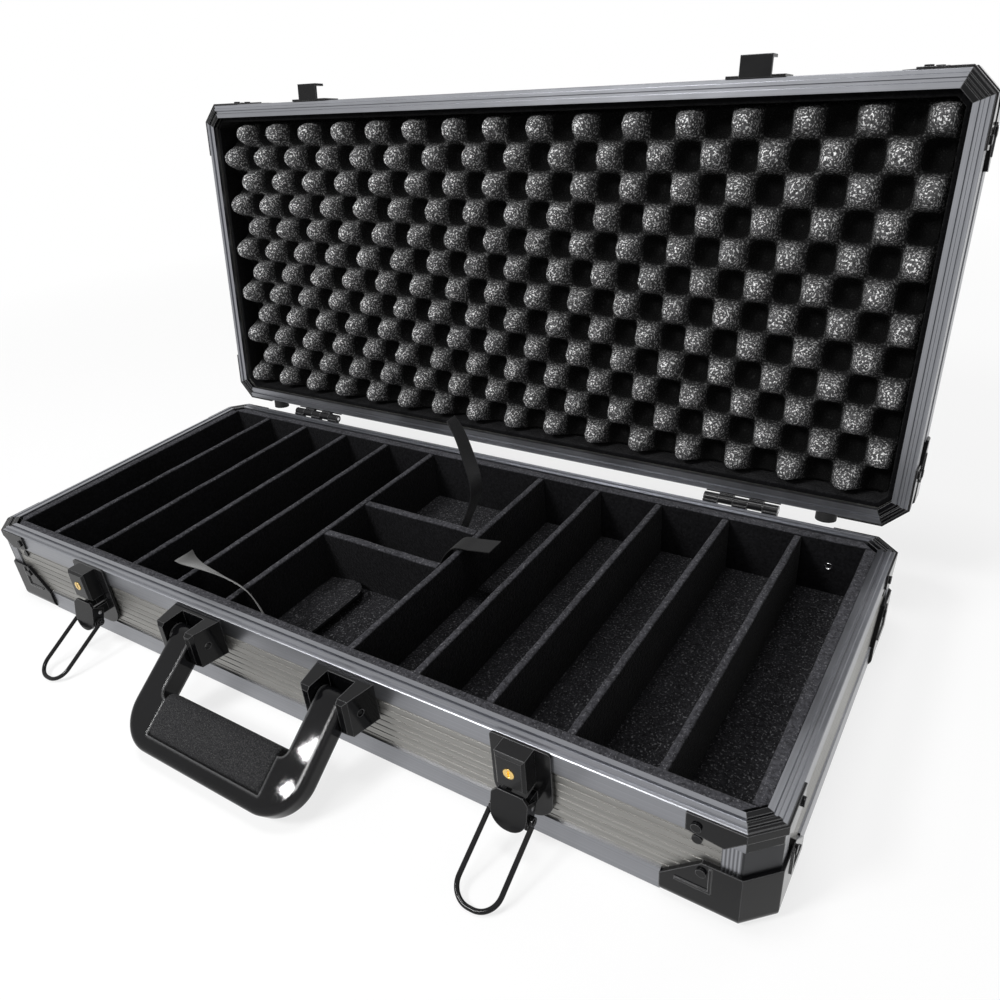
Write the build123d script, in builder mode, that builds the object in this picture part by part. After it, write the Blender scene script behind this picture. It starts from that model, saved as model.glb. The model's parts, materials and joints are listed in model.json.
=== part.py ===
from build123d import *
import os
from math import radians, sqrt, tan

os.makedirs("parts", exist_ok=True)

# Aluminium carrying case for poker chips, standing open.
# Millimetres, +Z up, front towards -Y. The origin is the middle of the face that the base stands on.
# Every lid piece is made as it lies when the lid is shut, then swung open about the hinge pin.

# ---- Whole case
case_length = 560.0  # left to right
case_width = 240.0  # front to back
base_height = 60.0  # table to the top of the base's rim
lid_height = 38.0  # lid's rim to its outer top
corner_cut = 12.0  # leg of the 45 degree cut at each upright corner
rim_gap = 0.8  # between the two rims when shut
lid_open_angle = 97.5  # from shut

# ---- Shell: boards in aluminium rails
rail_skin = 1.0
edge_rail_height = 14.8
edge_rail_flange = 10.0
floor_inset = 3.0
floor_thickness = 3.0
board_thickness = 8.0
rim_width = 9.0
rim_band = 12.7  # height of the rim rail's outer face
rim_cap = 1.8
rim_ridge = 1.2  # height of the ridges along the rim
rim_ledge = 2.0
rim_ridge_width = 2.4
rim_groove_width = 1.4
groove_pitch = 4.6
groove_width = 0.7
groove_depth = 0.4
mitre_gap = 0.2

# ---- Corner pieces, measured from the square corner and down from the rim
post_reach = 21.3
tab_reach = 36.8
tab_skin = 1.2
tab_end_depth = 11.5
tab_point_depth = 14.0
tab_point_reach = 20.2
tab_cut_depth = 6.0  # across the corner cut
guard_skin = 1.6
guard_foot = 1.2
guard_lip = 14.0  # how far it turns in under the case
guard_reach = 47.2
guard_peak_reach = 28.8
guard_round = 6.0
guard_rib = 1.4
guard_rib_height = 0.7
guard_rib_level = 1.2  # above the guard's low end
guard_rib_reach = 24.0
base_guard_low = 14.0
base_guard_peak = 32.0
lid_guard_low = 11.0
lid_guard_peak = 21.0
rivet_radius = 2.3
rivet_height = 1.1
tab_rivet_reach = 32.0
tab_rivet_depth = 7.5
wall_rivet_depth = 16.8
guard_rivet_reach = 28.6
base_guard_rivet_drop = 5.4  # below the guard's peak
lid_guard_rivet_drop = 4.4

# ---- Felt tray
spacer_thickness = 14.6  # lifts the felt floor
felt_thickness = 2.0
liner_thickness = 6.5
liner_drop = 1.0  # below the rim
divider_thickness = 4.6
divider_drop = 1.5
slot_pitch = 44.5
slot_count = 5  # on each side of the middle bay
bay_width = 97.0  # between the middle dividers' centres
cross_thickness = 6.0
cross_positions = (-18.6, 23.6)  # front to back across the bay
flap_length = 36.0
flap_round = 16.0
flap_thickness = 1.6
flap_lift = 9.0  # degrees

# ---- Lifting ribbons, as paths seen from the front
ribbon_width = 14.0
ribbon_thickness = 0.6
light_ribbon_foot = (-26, 4.8)  # over the felt floor
light_ribbon_path = [(-29, -12.5), (-37, 0), (-48, 2.5), (-66, 4.5), (-92, 10.5)]  # over the dividers
light_ribbon_from_front = 24.0
dark_ribbon_foot = (28, 0.1)
dark_ribbon_path = [(34, -12.5), (45, 1.5), (58, 4), (73, 6.5)]
dark_ribbon_at = 5.0
black_ribbon_foot = (12, 0.1)
black_ribbon_path = [(23, -11.5), (33, 9.5), (35.5, 23.5), (32, 40.5), (27, 56.5), (21, 67.5)]
black_ribbon_from_back = 77.0

# ---- Lid lining
lid_liner_thickness = 3.0
lid_liner_drop = 4.0
foam_clearance = 0.3
foam_back = 8.0  # plain foam behind the relief
foam_depth = 24.0  # from the pits' floors to the peaks' tops
foam_columns = 16  # peaks in each row, with a pit between every two
foam_rows = 12  # each shifted by one cell from the next
foam_peak_share = 0.93  # of its cell in the checkerboard, at half depth
foam_taper = 20.0

# ---- Hinges and feet on the back wall
hinge_offset = 4.0  # pin behind the back wall
hinge_from_end = 95.0
hinge_length = 48.0
hinge_barrel_radius = 3.0
hinge_pin_radius = 1.3
hinge_leaf_start = 3.4  # from the pin's height
hinge_leaf_height = 14.0
hinge_leaf_thickness = 1.4
hinge_knuckles = 5
hinge_gap = 0.3
running_gap = 0.1
foot_reach = 44.0
foot_radius = 6.3
foot_height = 6.0
base_foot_drop = 2.5  # below the rim rail's lower edge
lid_foot_drop = 0.5  # from the lid's rim

# ---- Latches
latch_from_middle = 164.5
plate_width = 32.4
plate_height = 44.4
plate_drop = 1.0  # below the rim
plate_round = 13.0
plate_thickness = 1.6
housing_width = 16.2
housing_depth = 10.0
housing_height = 20.5
housing_edge = 1.5
plate_ear_thickness = 2.5
plate_ear_radius = 3.2
lock_radius = 2.9
lock_length = 7.0
lock_proud = 0.4
lock_drop = 11.0  # below the rim
lock_slot_width = 1.0
lock_slot_depth = 1.5
lever_pin_drop = 31.0  # below the rim
lever_pin_depth = 7.5  # in front of the plate
lever_pin_radius = 1.1
lever_width = 19.8
lever_ear_thickness = 1.4
lever_thickness = 1.8
lever_clearance = 1.2  # in front of the housing
lever_height = 20.7
lever_above_pin = 7.2
lever_round = 9.5
lever_shoulder = 3.0
lever_tilt = 14.0  # at rest
bail_pin_drop = 6.0  # below the lever's pin
bail_pin_forward = 1.2
bail_pin_reach = 12.4
bail_wire_radius = 1.3
bail_width = 23.0  # between the legs' centres
bail_length = 45.0
bail_lean = 28.8  # below level, at rest
bail_round = 10.5
bail_eye_radius = 2.5
bail_eye_thickness = 1.7
strike_rise = 0.8  # above the lid's rim
strike_height = 15.0
strike_thickness = 1.4
strike_width = 17.5
strike_seat_rise = 1.8  # above the lid's rim
strike_metal = 1.6
strike_reach = 11.3
strike_lip = 7.0

# ---- Carrying handle
handle_from_middle = 58.0
bracket_width = 39.0
bracket_height = 23.5
bracket_drop = 3.5  # below the rim
bracket_depth = 19.0
bracket_taper = 4.0
bracket_edge = 2.0
well_width = 19.0
well_back = 3.2
handle_pin_radius = 2.0
handle_pin_depth = 10.5  # in front of the base
handle_pin_drop = 15.25  # below the rim
handle_pin_length = 31.0
handle_thickness = 13.0
handle_arm_width = 17.6
handle_reach = 66.0
handle_corner = 24.0
handle_bar_width = 30.0
handle_inner_round = 5.0
handle_round = 3.2
handle_lean = 35.0  # below level, at rest
grip_length = 88.0
grip_end = 57.0  # from the pin
grip_thickness = 16.5
grip_core = 7.0

# ---- Worked out from the sizes above
half_length = case_length / 2
half_width = case_width / 2
panel_bottom = 2 * guard_foot
floor_top = panel_bottom + floor_thickness
board_inner = rail_skin + board_thickness
tray_floor_top = floor_top + spacer_thickness + felt_thickness
tray_x = half_length - rim_width - liner_thickness
tray_y = half_width - rim_width - liner_thickness
liner_top = base_height - liner_drop
divider_top = base_height - divider_drop
lid_top = base_height + rim_gap + lid_height
hinge_y = half_width + hinge_offset
hinge_z = base_height + rim_gap / 2
hinge_axis = Axis((0, hinge_y, hinge_z), (1, 0, 0))
mitre = tan(radians(22.5))
corner_shrink = 2 - sqrt(2)
front_face = Plane.XZ.offset(half_width)
corner_plane = Plane(origin=(half_length, -half_width, 0), z_dir=(1, 1, 0))
foot_x = half_length - foot_reach
hinge_from_middle = half_length - hinge_from_end
base_foot_level = base_height - rim_band - base_foot_drop - foot_radius
plate_top = base_height - plate_drop
lock_level = base_height - lock_drop
lever_pin_level = base_height - lever_pin_drop
lever_top = lever_pin_level + lever_above_pin
lid_rim = base_height + rim_gap
lid_foot_level = lid_rim + lid_foot_drop + foot_radius
strike_seat = lid_rim + strike_seat_rise
bracket_top = base_height - bracket_drop
bracket_bottom = bracket_top - bracket_height
handle_pin_level = base_height - handle_pin_drop
slot_lines = [bay_width / 2 + slot * slot_pitch for slot in range(slot_count)]
latch_sides = {"left": -latch_from_middle, "right": latch_from_middle}
outline = [
    (corner_cut - half_length, -half_width),
    (half_length - corner_cut, -half_width),
    (half_length, corner_cut - half_width),
    (half_length, half_width - corner_cut),
    (half_length - corner_cut, half_width),
    (corner_cut - half_length, half_width),
    (-half_length, half_width - corner_cut),
    (-half_length, corner_cut - half_width),
]
half_corner = [
    (half_length + 20, -half_width - 20),
    (half_length - 90, -half_width + 90),
    (half_length - 90, -half_width - 20),
]


# ---- Placing and writing pieces
def save(builder, name, at=(0, 0, 0)):
    piece = builder.part.moved(Location(at))
    piece.label = name
    export_step(piece, f"parts/{name}.step")


def save_open(piece, name):
    """Writes a piece of the shut lid where it lies with the lid open."""
    piece = piece.rotate(hinge_axis, -lid_open_angle)
    piece.label = name
    export_step(piece, f"parts/{name}.step")


def turned_over(builder):
    """A lid piece drawn top down, put where it lies in the shut lid."""
    return mirror(builder.part, about=Plane.XY).moved(Location((0, 0, lid_top)))


# ---- Shapes that both halves of the case use
def case_plan(inset):
    """The case's plan with its corners cut, moved in by inset."""
    with BuildSketch() as plan:
        Rectangle(case_length - 2 * inset, case_width - 2 * inset)
        chamfer(plan.vertices(), corner_cut - corner_shrink * inset)
    return plan.sketch


def ring(bottom, top, outer, inner, mode=Mode.ADD):
    """A level of the shell between two insets from the case's plan."""
    with BuildSketch(Plane.XY.offset(bottom)) as level:
        add(case_plan(outer))
        add(case_plan(inner), mode=Mode.SUBTRACT)
    extrude(level.sketch, top - bottom, mode=mode)


def keep(points, bottom, top):
    """Keeps only what stands over a polygon."""
    with BuildSketch(Plane.XY.offset(bottom)) as zone:
        Polygon(*points, align=None)
    extrude(zone.sketch, top - bottom, mode=Mode.INTERSECT)


def keep_on_face(points):
    """Keeps only what lies behind a polygon drawn on the front face."""
    with BuildSketch(front_face) as shape:
        Polygon(*points, align=None)
    extrude(shape.sketch, 40, both=True, mode=Mode.INTERSECT)


def wall_zone(side):
    """Plan of one wall between 45 degree mitres."""
    past = 5.0
    x, y, gap = half_length + past, half_width + past, mitre_gap / 2
    front = [(gap - x, -y), (x - gap, -y), (x - y - gap, 0), (y + gap - x, 0)]
    right = [(x, gap - y), (x, y - gap), (x - y + gap, 0)]
    zone = front if side in ("front", "back") else right
    flip = -1 if side in ("back", "left") else 1
    return [(flip * px, flip * py) for px, py in zone]


def rim_edge(edge, height):
    """The rim rail's section run along one edge of the outline, mitred at both ends."""
    start, end = Vector(*outline[edge]), Vector(*outline[(edge + 1) % 8])
    along = (end - start).normalized()
    inward = Vector(-along.Y, along.X)
    length = (end - start).length
    past = 2.0
    slope = rim_ridge / 3
    ledge = height - rim_ridge
    ridge_end = rim_ledge + rim_ridge_width
    groove_end = ridge_end + rim_groove_width
    section = [
        (0, height - rim_band),
        (0, ledge - slope),
        (slope, ledge),
        (rim_ledge, ledge),
        (rim_ledge + slope, height),
        (ridge_end - slope, height),
        (ridge_end, ledge),
        (groove_end, ledge),
        (groove_end + slope, height),
        (rim_width, height),
        (rim_width, ledge - rim_cap),
        (rail_skin, ledge - rim_cap),
        (rail_skin, height - rim_band),
    ]
    with BuildPart() as rail:
        with BuildSketch(Plane(origin=start, x_dir=inward, z_dir=along * -1)) as across:
            Polygon(*[(distance, -level) for distance, level in section], align=None)
        extrude(amount=past)
        extrude(across.sketch, amount=-(length + past))
        with BuildSketch(Plane(origin=start, x_dir=along, z_dir=(0, 0, 1))):
            Polygon(
                (-past * mitre, -past),
                (length + past * mitre, -past),
                (length - rim_width * mitre, rim_width),
                (rim_width * mitre, rim_width),
                align=None,
            )
        extrude(amount=height, mode=Mode.INTERSECT)
    return rail.part


def make_board(side, height):
    top = height - rim_ridge - rim_cap
    with BuildPart() as board:
        ring(floor_top, top, rail_skin, board_inner)
        level = edge_rail_height + groove_pitch / 2
        while level < height - rim_band - groove_pitch / 4:
            ring(level, level + groove_width, 0, rail_skin + groove_depth, mode=Mode.SUBTRACT)
            level += groove_pitch
        keep(wall_zone(side), 0, height)
    return board


def make_panel():
    with BuildPart() as panel:
        extrude(Plane.XY.offset(panel_bottom) * case_plan(floor_inset), floor_thickness)
    return panel


def make_edge_rails():
    reach = 2 * guard_reach
    with BuildPart() as rails:
        ring(guard_foot, panel_bottom, 0, edge_rail_flange)
        ring(panel_bottom, floor_top, 0, floor_inset)
        ring(floor_top, edge_rail_height, 0, rail_skin)
        with BuildSketch():
            with GridLocations(case_length, case_width, 2, 2):
                Rectangle(reach, reach)
        extrude(amount=base_height, mode=Mode.SUBTRACT)
    return rails


def make_rim_rails(height):
    with BuildPart() as rails:
        for edge in (0, 2, 4, 6):
            add(rim_edge(edge, height))
    return rails


def make_posts(height, guard_peak):
    with BuildPart() as posts:
        ring(guard_peak, height - rim_band, 0, rail_skin)
        with BuildSketch():
            with GridLocations(case_length, case_width, 2, 2):
                Rectangle(2 * post_reach, 2 * post_reach)
        extrude(amount=height, mode=Mode.INTERSECT)
    return posts


def make_rim_corners(height):
    tab = [
        (half_length - tab_reach, height - rim_ridge - 0.2),
        (half_length - tab_reach, height - tab_end_depth),
        (half_length - tab_point_reach, height - tab_point_depth),
        (half_length - corner_cut, height - tab_cut_depth),
        (half_length, height - tab_cut_depth),
        (half_length, height - rim_ridge - 0.2),
    ]
    with BuildPart() as corners:
        ring(height - tab_point_depth, height, -tab_skin, 0)
        keep_on_face(tab)
        keep(half_corner, 0, height)
        mirror(about=corner_plane)
        add(rim_edge(1, height))
        mirror(about=Plane.YZ)
        mirror(about=Plane.XZ)
    return corners


def make_guards(low, peak):
    end = half_length - guard_reach
    turn = half_length - guard_rib_reach
    rib_bottom = low + guard_rib_level
    wall = [
        (end, 0),
        (end, low),
        (half_length - guard_peak_reach, peak),
        (half_length + guard_round, peak),
        (half_length + guard_round, 0),
    ]
    rib = [
        (end + 7, rib_bottom),
        (turn, rib_bottom),
        (turn, peak - 1),
        (turn - guard_rib, peak - 1),
        (turn - guard_rib, rib_bottom + guard_rib),
        (end + 7, rib_bottom + guard_rib),
    ]
    with BuildPart() as guards:
        extrude(case_plan(-guard_skin), peak)
        fillet(guards.faces().sort_by(Axis.Z)[0].edges(), guard_round)
        extrude(Plane.XY.offset(floor_top) * case_plan(rail_skin), peak, mode=Mode.SUBTRACT)
        extrude(Plane.XY.offset(panel_bottom) * case_plan(floor_inset), peak, mode=Mode.SUBTRACT)
        extrude(case_plan(guard_lip), peak, mode=Mode.SUBTRACT)
        keep_on_face(wall)
        keep(half_corner, 0, peak)
        with BuildSketch(front_face.offset(guard_skin)):
            Polygon(*rib, align=None)
        extrude(amount=guard_rib_height)
        mirror(about=corner_plane)
        mirror(about=Plane.YZ)
        mirror(about=Plane.XZ)
    return guards


def make_rivets(spots):
    """Rivet heads at (reach, level, skin) near every corner, on both walls."""
    with BuildPart() as rivets:
        for reach, level, skin in spots:
            with BuildSketch(front_face.offset(skin)):
                with Locations((half_length - reach, level)):
                    Circle(rivet_radius)
            extrude(amount=rivet_height)
        mirror(about=corner_plane)
        mirror(about=Plane.YZ)
        mirror(about=Plane.XZ)
    return rivets


# ---- Base shell
save(make_panel(), "base_floor")
for side in ("front", "back", "left", "right"):
    save(make_board(side, base_height), f"base_board_{side}")
save(make_edge_rails(), "base_edge_rails")
save(make_rim_rails(base_height), "base_rim_rails")
save(make_posts(base_height, base_guard_peak), "base_corner_posts")
save(make_rim_corners(base_height), "base_rim_corners")
save(make_guards(base_guard_low, base_guard_peak), "base_corner_guards")
base_spots = [
    (tab_rivet_reach, base_height - tab_rivet_depth, tab_skin),
    (tab_rivet_reach, base_height - wall_rivet_depth, -rail_skin),
    (guard_rivet_reach, base_guard_peak - base_guard_rivet_drop, guard_skin),
]
save(make_rivets(base_spots), "base_rivets")

# ---- Felt tray
with BuildPart() as tray_floor:
    extrude(Plane.XY.offset(floor_top) * case_plan(rim_width), spacer_thickness + felt_thickness)
save(tray_floor, "tray_floor")

with BuildPart() as tray_liner:
    with BuildSketch(Plane.XY.offset(tray_floor_top)):
        add(case_plan(rim_width))
        Rectangle(2 * tray_x, 2 * tray_y, mode=Mode.SUBTRACT)
        with Locations((-tray_x - mitre_gap / 2, 0), (tray_x + mitre_gap / 2, 0)):
            Rectangle(mitre_gap, case_width, mode=Mode.SUBTRACT)
    extrude(amount=liner_top - tray_floor_top)
save(tray_liner, "tray_liner")

divider_height = divider_top - tray_floor_top
divider_middle = (divider_top + tray_floor_top) / 2
with BuildPart() as chip_dividers:
    for line in slot_lines:
        with Locations((line, 0, divider_middle), (-line, 0, divider_middle)):
            Box(divider_thickness, 2 * tray_y, divider_height)
save(chip_dividers, "chip_dividers")

with BuildPart() as bay_dividers:
    with Locations(*[(0, at, divider_middle) for at in cross_positions]):
        Box(bay_width - divider_thickness, cross_thickness, divider_height)
save(bay_dividers, "bay_dividers")

flap_width = cross_positions[0] - cross_thickness / 2 + tray_y - 1
with BuildPart() as felt_flap:
    with BuildSketch(Plane.XY) as flap_plan:
        Rectangle(flap_length, flap_width, align=Align.MIN)
        fillet(flap_plan.vertices().group_by(Axis.X)[-1].sort_by(Axis.Y)[0], flap_round)
    extrude(amount=flap_thickness)
flap_corner = (divider_thickness / 2 - bay_width / 2 + 0.5, 0.5 - tray_y, tray_floor_top)
lifted_flap = felt_flap.part.rotate(Axis.Y, -flap_lift).moved(Location(flap_corner))
lifted_flap.label = "felt_flap"
export_step(lifted_flap, "parts/felt_flap.step")


# ---- Lifting ribbons
def make_ribbon(foot, path, at):
    start = (foot[0], tray_floor_top + foot[1])
    with BuildPart() as ribbon:
        with BuildSketch(Plane.XZ.offset(-at)):
            with BuildLine():
                Spline(start, *[(x, divider_top + level) for x, level in path])
            trace(line_width=ribbon_thickness)
        extrude(amount=ribbon_width / 2, both=True)
    return ribbon


light_ribbon_at = light_ribbon_from_front - half_width
black_ribbon_at = half_width - black_ribbon_from_back
save(make_ribbon(light_ribbon_foot, light_ribbon_path, light_ribbon_at), "light_ribbon")
save(make_ribbon(dark_ribbon_foot, dark_ribbon_path, dark_ribbon_at), "dark_ribbon")
save(make_ribbon(black_ribbon_foot, black_ribbon_path, black_ribbon_at), "black_ribbon")

# ---- Latches
plate_front = half_width + plate_thickness
lever_pin_y = -plate_front - lever_pin_depth
ear_at = (housing_width - plate_ear_thickness) / 2
with BuildPart() as latch_plate:
    with BuildSketch(front_face) as plate_shape:
        with Locations((0, plate_top - plate_height / 2)):
            Rectangle(plate_width, plate_height)
        fillet(plate_shape.vertices().group_by(Axis.Y)[0], plate_round)
        fillet(plate_shape.vertices().group_by(Axis.Y)[-1], 2)
    extrude(amount=plate_thickness)
    with BuildSketch(Plane.YZ.offset(ear_at - plate_ear_thickness / 2)):
        with Locations((lever_pin_y, lever_pin_level)):
            Circle(plate_ear_radius)
        with Locations((lever_pin_y + lever_pin_depth / 2, lever_pin_level)):
            Rectangle(lever_pin_depth, 2 * plate_ear_radius)
    extrude(amount=plate_ear_thickness)
    mirror(about=Plane.YZ)
    with Locations(Location((0, lever_pin_y, lever_pin_level), (0, 90, 0))):
        Cylinder(lever_pin_radius, 2 * plate_width, mode=Mode.SUBTRACT)

housing_front = plate_front + housing_depth
with BuildPart() as latch_housing:
    with BuildSketch(Plane.XZ.offset(plate_front)):
        with Locations((0, plate_top - housing_height / 2)):
            Rectangle(housing_width, housing_height)
    extrude(amount=housing_depth)
    chamfer(latch_housing.faces().sort_by(Axis.Y)[0].edges(), housing_edge)
    with Locations(Location((0, -housing_front, lock_level), (90, 0, 0))):
        Cylinder(lock_radius + running_gap, 2 * lock_length, mode=Mode.SUBTRACT)

with BuildPart() as lock_plug:
    lock_middle = (lock_length - lock_proud) / 2 - housing_front
    with Locations(Location((0, lock_middle, lock_level), (90, 0, 0))):
        Cylinder(lock_radius, lock_length + lock_proud)
    with Locations((0, -housing_front - lock_proud, lock_level)):
        Box(lock_slot_width, 2 * lock_slot_depth, 1.4 * lock_radius, mode=Mode.SUBTRACT)

lever_back = housing_front + lever_clearance
bail_pin_y = lever_pin_y - bail_pin_forward
bail_pin_z = lever_pin_level - bail_pin_drop
lever_axis = Axis((0, lever_pin_y, lever_pin_level), (1, 0, 0))
ear = [
    (lever_pin_y + 2.8, lever_pin_level + 2.4),
    (lever_pin_y + 2.0, bail_pin_z - 2.4),
    (-lever_back - 0.5, bail_pin_z - 3.6),
    (-lever_back - 0.5, lever_pin_level + 4.5),
]
with BuildPart() as latch_lever:
    with BuildSketch(Plane.XZ.offset(lever_back)) as lever_shape:
        with Locations((0, lever_top - lever_height / 2)):
            Rectangle(lever_width, lever_height)
        chamfer(lever_shape.vertices().group_by(Axis.Y)[-1], lever_shoulder)
        fillet(lever_shape.vertices().group_by(Axis.Y)[0], lever_round)
    extrude(amount=lever_thickness)
    with BuildSketch(Plane.YZ.offset(lever_width / 2 - lever_ear_thickness)):
        Polygon(*ear, align=None)
    extrude(amount=lever_ear_thickness)
    with Locations(Location((lever_width / 4 + bail_pin_reach / 2, bail_pin_y, bail_pin_z), (0, 90, 0))):
        Cylinder(lever_pin_radius, bail_pin_reach - lever_width / 2)
    mirror(about=Plane.YZ)
    with Locations(Location((0, lever_pin_y, lever_pin_level), (0, 90, 0))):
        Cylinder(lever_pin_radius + running_gap, 2 * lever_width, mode=Mode.SUBTRACT)
tilted_lever = latch_lever.part.rotate(lever_axis, -lever_tilt)

bail_drop = Vector(0, -bail_pin_forward, -bail_pin_drop).rotate(Axis.X, -lever_tilt)
bail_centre = Vector(0, lever_pin_y, lever_pin_level) + bail_drop
bail_leg = bail_width / 2
bail_plane = Plane(
    origin=(0, bail_centre.Y, bail_centre.Z),
    x_dir=(1, 0, 0),
    z_dir=Vector(0, 0, -1).rotate(Axis.X, bail_lean),
)
with BuildPart() as latch_bail:
    with BuildLine(bail_plane) as bail_path:
        bent = FilletPolyline(
            (-bail_leg, 2),
            (-bail_leg, bail_length),
            (bail_leg, bail_length),
            (bail_leg, 2),
            radius=bail_round,
        )
    with BuildSketch(Plane(origin=bent @ 0, z_dir=bent % 0)):
        Circle(bail_wire_radius)
    sweep()
    eye_at = bail_leg - bail_wire_radius + bail_eye_thickness / 2 - 0.1
    for flip in (-1, 1):
        with Locations(Location((flip * eye_at, bail_centre.Y, bail_centre.Z), (0, 90, 0))):
            Cylinder(bail_eye_radius, bail_eye_thickness)
    with Locations(Location((0, bail_centre.Y, bail_centre.Z), (0, 90, 0))):
        Cylinder(lever_pin_radius + running_gap, 2 * bail_width, mode=Mode.SUBTRACT)

for side, at in latch_sides.items():
    save(latch_plate, f"{side}_latch_plate", (at, 0, 0))
    save(latch_housing, f"{side}_latch_housing", (at, 0, 0))
    save(lock_plug, f"{side}_lock_plug", (at, 0, 0))
    lever = tilted_lever.moved(Location((at, 0, 0)))
    lever.label = f"{side}_latch_lever"
    export_step(lever, f"parts/{side}_latch_lever.step")
    save(latch_bail, f"{side}_latch_bail", (at, 0, 0))

with BuildPart() as lever_pins:
    for at in latch_sides.values():
        with Locations(Location((at, lever_pin_y, lever_pin_level), (0, 90, 0))):
            Cylinder(lever_pin_radius, lever_width)
save(lever_pins, "lever_pins")

# ---- Carrying handle
handle_pin_y = -half_width - handle_pin_depth
bracket_middle = (bracket_top + bracket_bottom) / 2
with BuildPart() as handle_bracket:
    with BuildSketch(Plane.XY.offset(bracket_bottom)):
        Polygon(
            (-bracket_width / 2, -half_width),
            (bracket_width / 2, -half_width),
            (bracket_width / 2 - bracket_taper, -half_width - bracket_depth),
            (bracket_taper - bracket_width / 2, -half_width - bracket_depth),
            align=None,
        )
    extrude(amount=bracket_height)
    chamfer(handle_bracket.faces().sort_by(Axis.Y)[0].edges(), bracket_edge)
    with Locations((0, -half_width - well_back, bracket_middle)):
        Box(well_width, bracket_depth, 2 * bracket_top, align=(Align.CENTER, Align.MAX, Align.CENTER),
            mode=Mode.SUBTRACT)
    with Locations(Location((0, handle_pin_y, handle_pin_level), (0, 90, 0))):
        Cylinder(handle_pin_radius, 2 * bracket_width, mode=Mode.SUBTRACT)
save(handle_bracket, "left_handle_bracket", (-handle_from_middle, 0, 0))
save(handle_bracket, "right_handle_bracket", (handle_from_middle, 0, 0))

with BuildPart() as handle_pins:
    for at in (-handle_from_middle, handle_from_middle):
        with Locations(Location((at, handle_pin_y, handle_pin_level), (0, 90, 0))):
            Cylinder(handle_pin_radius, handle_pin_length)
save(handle_pins, "handle_pins")

handle_plane = Plane(
    origin=(0, handle_pin_y, handle_pin_level),
    x_dir=(1, 0, 0),
    z_dir=Vector(0, 0, -1).rotate(Axis.X, handle_lean),
)
handle_outer = handle_from_middle + handle_arm_width / 2
handle_inner = handle_from_middle - handle_arm_width / 2
bar_start = handle_reach - handle_bar_width
with BuildPart() as handle_flat:
    with BuildSketch() as handle_shape:
        with Locations((0, handle_reach / 2)):
            Rectangle(2 * handle_outer, handle_reach)
        fillet(handle_shape.vertices().group_by(Axis.Y)[-1], handle_corner)
    extrude(amount=handle_thickness / 2, both=True)
    rims = handle_flat.faces().filter_by(Axis.Z).edges()
    fillet(rims.filter_by_position(Axis.Y, 0.01, handle_reach), handle_round)
    for at in (-handle_from_middle, handle_from_middle):
        with Locations(Location((at, 0, 0), (0, 90, 0))):
            Cylinder(handle_thickness / 2, handle_arm_width)
    with BuildSketch() as handle_opening:
        with Locations((0, bar_start / 2 - handle_thickness / 2)):
            Rectangle(2 * handle_inner, bar_start + handle_thickness)
        fillet(handle_opening.vertices().group_by(Axis.Y)[-1], handle_inner_round)
    extrude(amount=handle_thickness, both=True, mode=Mode.SUBTRACT)
    recess = (handle_thickness - grip_core) / 2
    for flip in (-1, 1):
        with Locations((0, grip_end / 2, flip * (grip_core + recess) / 2)):
            Box(grip_length, grip_end, recess, mode=Mode.SUBTRACT)
    with Locations(Location((0, 0, 0), (0, 90, 0))):
        Cylinder(handle_pin_radius + running_gap, 4 * handle_outer, mode=Mode.SUBTRACT)
with BuildPart() as handle:
    add(handle_plane * handle_flat.part)
save(handle, "handle")

with BuildPart() as grip_flat:
    grip_start = bar_start - (grip_thickness - grip_core) / 2
    with BuildSketch(Plane.YZ) as grip_shape:
        with Locations(((grip_start + grip_end) / 2, 0)):
            Rectangle(grip_end - grip_start, grip_thickness)
        fillet(grip_shape.vertices(), 3)
    extrude(amount=grip_length / 2, both=True)
    with Locations((0, (bar_start + grip_end) / 2, 0)):
        Box(2 * grip_length, grip_end - bar_start + 0.01, grip_core, mode=Mode.SUBTRACT)
with BuildPart() as handle_grip:
    add(handle_plane * grip_flat.part)
save(handle_grip, "handle_grip")

# ---- Hinges, made shut, with the base's leaves and knuckles below the pin's height
knuckle = hinge_length / hinge_knuckles


def make_leaves(knuckles, up, bore):
    """Leaves and knuckles of both hinges; up is -1 below the pin's height and 1 above."""
    with BuildPart() as leaves:
        for middle in (-hinge_from_middle, hinge_from_middle):
            plate_z = hinge_z + up * (hinge_leaf_start + hinge_leaf_height / 2)
            with Locations((middle, half_width + hinge_leaf_thickness / 2, plate_z)):
                Box(hinge_length, hinge_leaf_thickness, hinge_leaf_height)
            for index in knuckles:
                at = middle + (index - (hinge_knuckles - 1) / 2) * knuckle
                arm_z = hinge_z + up * (hinge_leaf_start + 0.5 + rim_gap / 2) / 2
                with Locations((at, half_width + hinge_offset / 2, arm_z)):
                    Box(knuckle - hinge_gap, hinge_offset, hinge_leaf_start + 0.5 - rim_gap / 2)
                with Locations(Location((at, hinge_y, hinge_z), (0, 90, 0))):
                    Cylinder(hinge_barrel_radius, knuckle - hinge_gap)
        with Locations(Location((0, hinge_y, hinge_z), (0, 90, 0))):
            Cylinder(bore, case_length, mode=Mode.SUBTRACT)
    return leaves


save(make_leaves(range(0, hinge_knuckles, 2), -1, hinge_pin_radius), "base_hinge_leaves")
with BuildPart() as hinge_pins:
    for middle in (-hinge_from_middle, hinge_from_middle):
        with Locations(Location((middle, hinge_y, hinge_z), (0, 90, 0))):
            Cylinder(hinge_pin_radius, hinge_length)
save(hinge_pins, "hinge_pins")


def make_feet(level, seat):
    """Rubber feet on the back wall, standing on a face that lies seat in from the rails' outside."""
    with BuildPart() as feet:
        with BuildSketch(Plane.XZ.offset(seat - half_width)):
            with Locations((-foot_x, level), (foot_x, level)):
                Circle(foot_radius)
        extrude(amount=-(foot_height + seat))
    return feet


save(make_feet(base_foot_level, rail_skin), "base_feet")

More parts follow.
